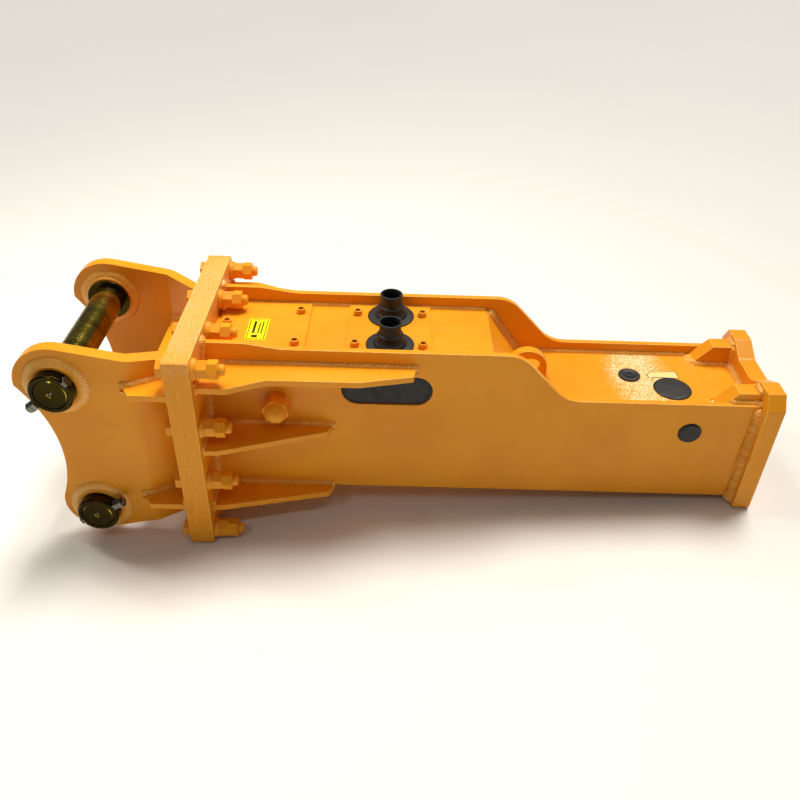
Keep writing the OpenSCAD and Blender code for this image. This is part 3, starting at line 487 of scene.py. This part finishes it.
def housing_seams():
    """Welds of the box: side plates, gussets, port plate, ramp, front plate, lug and nose."""
    out, inside, top, down, fore, aft = Y, -Y, Z, -Z, X, -X
    wrap = [
        ((FLANGE, SIDE_OUT, 4), fore, out), ((FLANGE, SIDE_OUT, 433), fore, out),
        ((FLANGE, SIDE_OUT - 1, 436), fore, (out + top).normalized()),
        ((FLANGE, SIDE_OUT - 4, 436), fore, top), ((FLANGE, SIDE_IN + 3, 436), fore, top),
        ((FLANGE, SIDE_IN + 1, 436), fore, (inside + top).normalized()),
        ((FLANGE, SIDE_IN, 433), fore, inside), ((FLANGE, SIDE_IN, 399), fore, inside),
    ]
    jobs = [(wrap, 10)]
    # Each gusset's lower and upper face, the end of its tip and its width at the flange
    gussets = ((367, 383, 540, 255), (190, 204, 340, 262), (-10, 6, 334, 241))
    for low, high, reach, root in gussets:
        jobs += [
            (straight((FLANGE + 4, SIDE_OUT, high), (reach + 3, SIDE_OUT, high), top, out), 8),
            (straight((FLANGE, SIDE_OUT + 6, high), (FLANGE, root, high), fore, top), 9),
            (straight((FLANGE, SIDE_OUT + 6, low), (FLANGE, root, low), fore, down), 9),
            (straight((reach, SIDE_OUT, high + 2), (reach, SIDE_OUT, low), fore, out), 5),
        ]
        if low > 0:
            jobs.append((straight(
                (FLANGE + 4, SIDE_OUT, low), (reach + 3, SIDE_OUT, low), down, out), 8))
    jobs.append((straight((FLANGE + 4, SIDE_OUT, 0), (334, SIDE_OUT, 0), inside, down), 8))
    ramp_out = Vector((124, 0, 92)).normalized()
    ramp_down = Vector((92, 0, -124)).normalized()
    block_slope = Vector((50, 0, 55)).normalized()
    jobs += [
        (straight((46, SIDE_IN, PORT_TOP), (724, SIDE_IN, PORT_TOP), inside, top), 6.5),
        (straight(
            (730, SIDE_IN, PORT_TOP - 3), (818, SIDE_IN, FRONT_TOP + 3), inside, ramp_out), 15),
        (straight((824, SIDE_IN, FRONT_TOP), (1284, SIDE_IN, FRONT_TOP), inside, top), 8),
        (straight((NOSE_BACK, SIDE_OUT, 295), (NOSE_BACK, SIDE_IN, 295), aft, top), 10),
        (straight((1290, 84.4, FRONT_TOP), (1391, 84.4, FRONT_TOP), inside, top), 9),
        (straight((1288, 86, FRONT_TOP), (1288, 128, FRONT_TOP), aft, block_slope), 10),
        (straight((NOSE_BACK, 86, 321), (NOSE_BACK, 128, 321), aft, top), 9),
        (straight((NOSE_BACK, 84.4, 270), (NOSE_BACK, 84.4, 320), aft, inside), 9),
        (straight((1318, SIDE_IN, 295), (1391, SIDE_IN, 295), out, top), 9),
        (straight((782, 13, 317), (820, 13, 268), out, ramp_out), 9),
        (straight((820, 13, FRONT_TOP), (880, 13, FRONT_TOP), out, top), 9),
        (straight(
            (36, SIDE_IN, 0), (1380, SIDE_IN, 0), out + down * 0.3, inside + down * 0.3), 5),
    ]
    nose = [
        ((NOSE_BACK, 0, 0), aft, down), ((NOSE_BACK, SIDE_OUT - 5, 0), aft, down),
        ((NOSE_BACK, SIDE_OUT - 1, 0), aft, (out + down).normalized()),
        ((NOSE_BACK, SIDE_OUT, 4), aft, out), ((NOSE_BACK, SIDE_OUT, 289), aft, out),
    ]
    jobs.append((nose, 17))
    jobs = both(jobs)
    jobs += [
        (straight((NOSE_BACK, -82, FRONT_TOP), (NOSE_BACK, 82, FRONT_TOP), aft, top), 12),
        (straight((881, -12, FRONT_TOP), (881, 12, FRONT_TOP), fore, top), 10),
        (straight((777, -12, 324), (777, 12, 324), ramp_out, -ramp_down), 9),
        (straight((FLANGE, -SIDE_OUT, 0), (FLANGE, SIDE_OUT, 0), fore, down), 10),
    ]
    return jobs


def ring(centre, at_y, radius, spread, facing, steps=48):
    """Corners of a weld round a boss whose axis lies along Y."""
    corners = []
    for i in range(steps + 1):
        angle = 2 * math.pi * i / steps
        radial = Vector((math.cos(angle), 0, math.sin(angle)))
        point = Vector((centre[0], at_y, centre[1])) + radial * radius
        corners.append((point, radial, Y * facing))
    return (corners, spread, True)


def bracket_seams():
    """Welds of the bracket: ears, gussets, stiffeners and pin bosses."""
    boss_radius, boss_legs = 61.5, (19, 9.5)
    back = -29.5
    along = Vector((-math.cos(EAR_BEND), math.sin(EAR_BEND), 0))
    face_out = Vector((math.sin(EAR_BEND), math.cos(EAR_BEND), 0))
    outer_root, inner_root = 173.6, 136.6
    knee_out, knee_in = (-122, EAR_OUT), (-130.6, EAR_IN)
    aft = -X
    jobs = [
        (straight((back, outer_root, -57), (back, outer_root, 405), Y, along), 11),
        (straight((back, inner_root, -57), (back, inner_root, 405), -Y, along), 10),
        (straight((back, outer_root, 409), (back, inner_root, 409), Z, aft), 9),
    ]
    # The upper and lower faces of the two gussets outside the ear
    for z, rise in ((366, Z), (350, -Z), (30, Z), (14, -Z)):
        jobs += [
            ([((back, outer_root, z), rise, face_out), ((*knee_out, z), rise, face_out),
              ((-146, EAR_OUT, z), rise, Y)], 9),
            (straight((back, outer_root + 6, z), (back, 264, z), rise, aft), 9),
        ]
    # The upper and lower faces of the two stiffeners between the ears
    for z, rise in ((300, Z), (284, -Z), (62, Z), (46, -Z)):
        jobs += [
            (straight((back, inner_root, z), (*knee_in, z), rise, -face_out), 11),
            (straight((back, 0, z), (back, inner_root - 6, z), rise, aft), 10),
        ]
    for pin in (STICK_PIN, LINK_PIN):
        jobs += [ring(pin, EAR_OUT, boss_radius, boss_legs, 1),
                 ring(pin, EAR_IN, boss_radius, boss_legs, -1)]
    return both(jobs)


seams("housing_welds", "housing", housing_seams(), 11)
seams("bracket_welds", "housing", bracket_seams(), 23)


def spatter():
    """Beads of weld metal that stuck beside the seams and were painted over."""
    chance = random.Random(5)
    # Ends of each strip in millimetres, the way it spreads, the plate's outward side, the count
    lines = [
        ((40, SIDE_OUT, 384), (530, SIDE_OUT, 384), Y, Z, 55),
        ((40, SIDE_OUT, 205), (330, SIDE_OUT, 205), Y, Z, 36),
        ((40, SIDE_OUT, 7), (320, SIDE_OUT, 7), Y, Z, 30),
        ((830, SIDE_IN, FRONT_TOP), (1280, SIDE_IN, FRONT_TOP), -Y, Z, 26),
        ((1290, 60, FRONT_TOP), (1390, 60, FRONT_TOP), -Y, Z, 26),
        ((60, SIDE_IN - 6, COVER_TOP), (260, SIDE_IN - 6, COVER_TOP), -Y, Z, 10),
        ((NOSE_BACK - 20, SIDE_OUT, 30), (NOSE_BACK - 20, SIDE_OUT, 280), -X, Y, 20),
        ((FLANGE + 12, SIDE_OUT, 20), (FLANGE + 12, SIDE_OUT, 400), X, Y, 24),
    ]
    bm = bmesh.new()
    for side in (1, -1):
        for start, end, away, up, count in lines:
            for _ in range(count):
                spot = Vector(start).lerp(Vector(end), chance.random())
                spot += away * abs(chance.gauss(0, 9 if up is Z else 7))
                size = chance.uniform(0.5, 1.5)
                made = bmesh.ops.create_icosphere(bm, subdivisions=1, radius=size / 1000)["verts"]
                bmesh.ops.scale(bm, vec=(1, 1, 0.7), verts=made)
                bmesh.ops.translate(bm, vec=place(spot.x, spot.y * side, spot.z), verts=made)
    finish(bm, "weld_spatter", "housing", [bead_enamel], weighted=False)


spatter()

# ---- plates and hardware: the CAD shapes with their edges broken ----
# Each painted node's finish and the width of its round in millimetres
PAINTED = {
    "bracket_ear_left": (gloss_enamel, 2.5), "bracket_ear_right": (gloss_enamel, 2.5),
    "bracket_flange": (flange_enamel, 2.5), "housing_flange": (flange_enamel, 2.5),
    "bracket_gussets": (gloss_enamel, 1.5), "pin_bosses": (gloss_enamel, 1.5),
    "flange_bolts": (gloss_enamel, 1.2), "flange_washers": (gloss_enamel, 0.8),
    "flange_nuts": (gloss_enamel, 0.9), "flange_lock_nuts": (gloss_enamel, 0.9),
    "side_plate_left": (gloss_enamel, 1.8), "side_plate_right": (gloss_enamel, 1.8),
    "port_plate": (gloss_enamel, 1.0), "ramp_plate": (gloss_enamel, 1.5),
    "front_plate": (nose_enamel, 1.0), "back_plate": (gloss_enamel, 1.0),
    "side_gussets": (gloss_enamel, 1.6), "nose_plate": (gloss_enamel, 3.0),
    "nose_blocks": (gloss_enamel, 2.0), "lifting_lug": (gloss_enamel, 2.5),
    "charging_cover": (gloss_enamel, 1.0), "port_cover": (gloss_enamel, 1.0),
    "cover_bosses": (gloss_enamel, 1.0), "side_cap_nuts": (gloss_enamel, 1.2),
}
for part, (finish_coat, round_width) in PAINTED.items():
    fold = 24 if "ear" in part else 32
    broken_edges(part, part + "_painted", finish_coat, round_width,
                 smooth_angle=fold, clamp=not part.endswith("_flange"))

# The flange joint: a painted strip at the bottom of the groove between the two rounded edges
gasket = bmesh.new()
block(gasket, place(-1.2, -268.6, -103.1), place(1.2, 268.6, 455.1))
finish(gasket, "flange_gasket", "housing", [gloss_enamel])

# The pins take the lighter copy of the plating (painted highlight); their end faces across Y, the
# collars and the bushes take the darker copy (painted shade)
broken_edges("pin_bushes", "pin_bushes_plated", zinc_painted_shade, 0.8)
PLATED = (
    ("pin", pin_zinc_painted_lit, "yellow_zinc", (zinc_painted_shade,)),
    ("pin_collars", zinc_painted_shade, "yellow_zinc", ()),
    ("pin_bolts", clear_zinc, "grey_zinc", ()),
    ("pin_nuts", clear_zinc, "grey_zinc", ()),
)
for pin in ("stick", "link"):
    for part, metal, slot_name, faces in PLATED:
        broken_edges(f"{pin}_{part}", f"{pin}_{part}_plated", metal, 0.9,
                     f"{pin}_pin_set", ends=faces)
broken_edges("socket_screws", "socket_screws_blackened", black_oxide, 0.4)
broken_edges("window_seals", "window_seals_moulded", seal_rubber, 0.8)
broken_edges("side_plugs", "side_plugs_moulded", boot_rubber, 0.6)
broken_edges("lower_bush", "lower_bush_turned", turned_steel, 1.5)

# Parts inside the housing keep their CAD shape
CARRIED = {
    turned_steel: ("upper_bush", "tool_pins", "piston", "valve_spool", "port_adapters",
                   "charging_valve", "through_bolts", "through_bolt_nuts", "seal_carriers",
                   "side_tie_rod"),
    forged_steel: ("back_head", "cylinder_body", "front_head", "valve_box", "valve_cap"),
    cast_urethane: ("upper_buffer", "lower_buffer", "wear_pads"),
    boot_rubber: ("seal_rings",),
}
for finish_coat, parts in CARRIED.items():
    for part in parts:
        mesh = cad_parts[part].data
        mesh.materials.clear()
        mesh.materials.append(finish_coat)


# ---- rubber boots and plugs ----
def hose_boot(name, y, node):
    """A bellows boot: flat foot, stepped cone, ribbed neck and a lip that grips the hose."""
    bm = bmesh.new()
    outer = [
        (0, 59.0), (2.6, 59.4), (3.8, 58.6), (4.6, 56.5), (4.9, 45), (5.6, 41.5), (8.5, 39.6),
        (11, 39), (12.6, 37.6), (14, 35.2), (22, 31.4), (27, 30.6), (29.5, 32.2), (32, 32.2),
        (34, 30.4), (36, 27.6), (40, 26.6), (47, 26.4), (53, 26.8), (57.5, 27.4), (60, 28.8),
        (64.5, 28.8), (66, 27.4),
    ]
    inner = [
        (66, 24.8), (64.6, 23.8), (58, 23.4), (44, 22.6), (36, 23.6), (30, 27.2), (20, 28),
        (0, 35),
    ]
    turned(bm, outer + inner, place(PORT_X, y, COVER_TOP))
    piece = finish(bm, name, "housing", [boot_rubber], 40, weighted=False)
    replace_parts(piece, node)


hose_boot("hose_boot_left_moulded", PORT_Y, "hose_boot_left")
hose_boot("hose_boot_right_moulded", -PORT_Y, "hose_boot_right")

# The cover over the tool pin, a plain disc, and the small plug with a ring and a button
plugs = bmesh.new()
turned(plugs, [
    (-9, 0), (-9, 42.4), (-0.5, 42.4), (-0.2, 48), (1.4, 48.4), (2.8, 47.4), (3.8, 44.5),
    (4.2, 41), (4.4, 0),
], place(1207, -38, FRONT_TOP))
turned(plugs, [
    (-9, 0), (-9, 23.4), (-0.5, 23.4), (-0.2, 28), (2.0, 28.5), (4.4, 28.0), (5.8, 26.2),
    (6.4, 23.5), (6.0, 18), (4.4, 15.6), (4.2, 13), (6.2, 11.8), (6.6, 9.5), (6.2, 7.2),
    (3.4, 5.6), (3.2, 0),
], place(1107, 18, FRONT_TOP))
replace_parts(finish(plugs, "front_plugs_moulded", "housing", [boot_rubber], 40,
                   weighted=False), "front_plugs")


# ---- labels ----
def rating_label():
    """A rounded vinyl label with a printed rule round it and plain bars where print would be."""
    low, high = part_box("rating_plate")
    bm = bmesh.new()
    block(bm, low, high)
    uprights = [e for e in bm.edges if abs((e.verts[0].co - e.verts[1].co).z) > 1e-5]
    bmesh.ops.bevel(
        bm, geom=uprights, offset=0.004, affect="EDGES", segments=4, profile=0.5, material=-1)
    face = max(bm.faces, key=lambda f: f.calc_center_median().z)
    bmesh.ops.inset_region(bm, faces=[face], thickness=0.0035)
    rule = bmesh.ops.inset_region(bm, faces=[face], thickness=0.0018)["faces"]
    for strip in rule:
        strip.material_index = 1
    # Each bar's middle across the label, its two ends along the label and its width
    bars = ((0.017, 0.030, 0.088, 0.006), (0.029, 0.030, 0.080, 0.003),
            (0.037, 0.030, 0.086, 0.003), (0.022, 0.010, 0.022, 0.014))
    for x, y0, y1, width in bars:
        block(bm, (low.x + x - width / 2, low.y + y0, high.z - 0.0002),
              (low.x + x + width / 2, low.y + y1, high.z + 0.0001), 1)
    piece = finish(
        bm, "rating_label", "housing", [label_vinyl, print_vinyl], weighted=False)
    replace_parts(piece, "rating_plate")


rating_label()


def arrow_label():
    """A plain arrow on the front plate: cream vinyl with a dark rule round it."""
    bm = bmesh.new()
    outline = [(1153, 24), (1182, 54), (1174, 38), (1236, 45), (1239, 11), (1170, 13), (1164, -2)]
    corners = [bm.verts.new(place(x, y, FRONT_TOP + 0.05)) for x, y in outline]
    face = bm.faces.new(corners)
    up = bmesh.ops.extrude_face_region(bm, geom=[face])["geom"]
    bmesh.ops.translate(
        bm, vec=(0, 0, 0.0004), verts=[g for g in up if isinstance(g, bmesh.types.BMVert)])
    bmesh.ops.recalc_face_normals(bm, faces=bm.faces[:])
    top = max(bm.faces, key=lambda f: f.calc_center_median().z)
    rule = bmesh.ops.inset_region(bm, faces=[top], thickness=0.0028)["faces"]
    for strip in rule:
        strip.material_index = 1
    finish(
        bm, "arrow_label", "housing", [cream_vinyl, print_vinyl], weighted=False)


arrow_label()


# ---- floor, light and camera ----
def studio():
    """A pale floor that touches the flange's and the nose plate's lower edges, soft daylight from
    above, two tube lamps along the pins and two small lamps that make welds and domes glint."""
    pale, tree, where = begin("pale_studio_floor")
    cloud = add(tree, "TexNoise", {"Vector": where, "Scale": cells(1200), "Detail": 2.0})["Fac"]
    tone = add(tree, "Mix", {0: cloud, 6: linear("#F4F4F3"), 7: linear("#EFEFEE")}, **TINT)[2]
    skin = add(tree, "BsdfPrincipled", {"Base Color": tone, "Roughness": 0.7})[0]
    add(tree, "OutputMaterial", {"Surface": skin})
    bm = bmesh.new()
    bmesh.ops.create_grid(bm, x_segments=2, y_segments=2, size=20.0)
    heel, toe = place(FLANGE, 0, FLANGE_LOW), place(SHELL_LENGTH, 0, NOSE_LOW)
    slope = math.atan2(toe.z - heel.z, toe.x - heel.x)
    bmesh.ops.rotate(bm, cent=(0, 0, 0), matrix=Matrix.Rotation(-slope, 3, "Y"), verts=bm.verts[:])
    bmesh.ops.translate(bm, vec=heel + Vector((0, 0, -0.0004)), verts=bm.verts[:])
    mesh = bpy.data.meshes.new("studio_floor")
    bm.to_mesh(mesh)
    bm.free()
    mesh.materials.append(pale)
    floor = bpy.data.objects.new("studio_floor", mesh)
    bpy.context.scene.collection.objects.link(floor)

    world = bpy.data.worlds.new("studio")
    bpy.context.scene.world = world
    world.use_nodes = True
    world.node_tree.nodes["Background"].inputs["Color"].default_value = linear("#F3F5F8")
    world.node_tree.nodes["Background"].inputs["Strength"].default_value = 0.11

    sky = bpy.data.lights.new("soft_daylight", "SUN")
    sky.energy = 2.8
    sky.angle = math.radians(24)
    sky.color = linear("#FFF8EC")[:3]
    sun = bpy.data.objects.new("soft_daylight", sky)
    sun.rotation_euler = Vector((-0.25, -0.32, -1.0)).to_track_quat("-Z", "Y").to_euler()
    bpy.context.scene.collection.objects.link(sun)

    middle = Vector((-1.3, 0.0, 0.1))
    # Each lamp's name, place and two sides in metres, and its power in watts
    lamps = (
        ("tube_lamp_front", (-2.7, 0.5, 2.0), (0.12, 2.2), 22),
        ("tube_lamp_rear", (-1.3, 0.9, 2.6), (0.12, 2.2), 22),
        ("bay_lamp_left", (-2.1, -1.5, 1.9), (0.2, 0.2), 2.6),
        ("bay_lamp_right", (-0.7, -1.3, 2.1), (0.2, 0.2), 2.6),
    )
    for name, spot, (wide, long), watts in lamps:
        light = bpy.data.lights.new(name, "AREA")
        light.shape = "RECTANGLE"
        light.size, light.size_y = wide, long
        light.energy = watts
        light.color = linear("#FFF6E6")[:3]
        lamp = bpy.data.objects.new(name, light)
        lamp.location = spot
        lamp.rotation_euler = (middle - Vector(spot)).to_track_quat("-Z", "Y").to_euler()
        bpy.context.scene.collection.objects.link(lamp)

    lens = bpy.data.cameras.new("viewpoint")
    lens.lens = 36.017
    lens.sensor_width = 36.0
    lens.clip_end = 100
    camera = bpy.data.objects.new("viewpoint", lens)
    camera.location = (-0.95227, -1.72850, 1.31165)
    camera.rotation_euler = [math.radians(a) for a in (53.6789, -1.5798, 0.59)]
    bpy.context.scene.collection.objects.link(camera)
    bpy.context.scene.camera = camera
    bpy.context.scene.view_settings.view_transform = "Standard"


studio()
